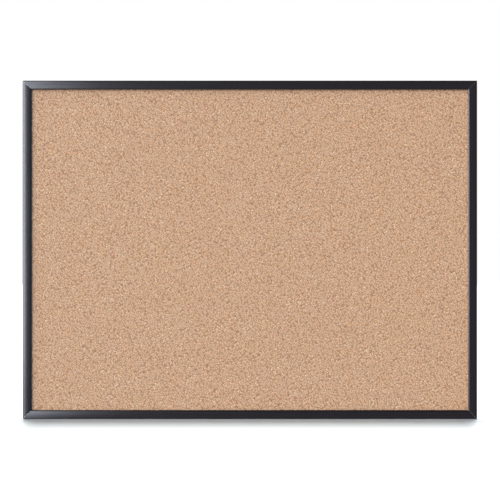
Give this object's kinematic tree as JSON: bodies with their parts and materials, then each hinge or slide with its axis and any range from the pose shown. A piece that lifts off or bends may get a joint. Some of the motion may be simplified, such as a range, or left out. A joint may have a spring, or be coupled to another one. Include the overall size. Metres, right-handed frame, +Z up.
{
  "type": "cork bulletin board",
  "caption": "Wall-mounted cork bulletin board in a mitred black aluminium frame, with keyhole hangers that slide along the top rail.",
  "frame": {"origin": "on the wall, behind the middle of the board, where the rubber bumpers' rear faces lie", "axes": "+X to the viewer's right along the board's width, +Y into the wall, +Z up; the cork faces -Y"},
  "size_m": [1.1938, 0.0265, 0.889],
  "materials": {
    "black_anodised_aluminium": "satin black anodised",
    "cork": "fine agglomerated natural cork, sanded, matt",
    "fibreboard": "soft wood fibreboard",
    "kraft_board": "brown kraft board, matt",
    "zinc_plated_steel": "bright zinc plate",
    "rubber": "matt moulded rubber"
  },
  "bodies": {
    "board": {"top_rail": "black_anodised_aluminium", "bottom_rail": "black_anodised_aluminium", "left_rail": "black_anodised_aluminium", "right_rail": "black_anodised_aluminium", "cork_sheet": "cork", "fibreboard_core": "fibreboard", "backing_sheet": "kraft_board", "clamp_plate_top_left": "zinc_plated_steel", "clamp_plate_top_right": "zinc_plated_steel", "clamp_plate_bottom_left": "zinc_plated_steel", "clamp_plate_bottom_right": "zinc_plated_steel", "bearing_plate_top_left": "zinc_plated_steel", "bearing_plate_top_right": "zinc_plated_steel", "bearing_plate_bottom_left": "zinc_plated_steel", "bearing_plate_bottom_right": "zinc_plated_steel", "corner_screw_top_left_1": "zinc_plated_steel", "corner_screw_top_left_2": "zinc_plated_steel", "corner_screw_top_right_1": "zinc_plated_steel", "corner_screw_top_right_2": "zinc_plated_steel", "corner_screw_bottom_left_1": "zinc_plated_steel", "corner_screw_bottom_left_2": "zinc_plated_steel", "corner_screw_bottom_right_1": "zinc_plated_steel", "corner_screw_bottom_right_2": "zinc_plated_steel", "bumper_top_left": "rubber", "bumper_top_right": "rubber", "bumper_bottom_left": "rubber", "bumper_bottom_right": "rubber"},
    "left_hanger": {"hanger_left": "zinc_plated_steel"},
    "right_hanger": {"hanger_right": "zinc_plated_steel"}
  },
  "joints": [
    {"name": "hanger_left_slide", "type": "slide", "parent": "board", "child": "left_hanger", "axis": [1, 0, 0], "range_m": [-0.105, 0.38]},
    {"name": "hanger_right_slide", "type": "slide", "parent": "board", "child": "right_hanger", "axis": [1, 0, 0], "range_m": [-0.38, 0.105]}
  ]
}
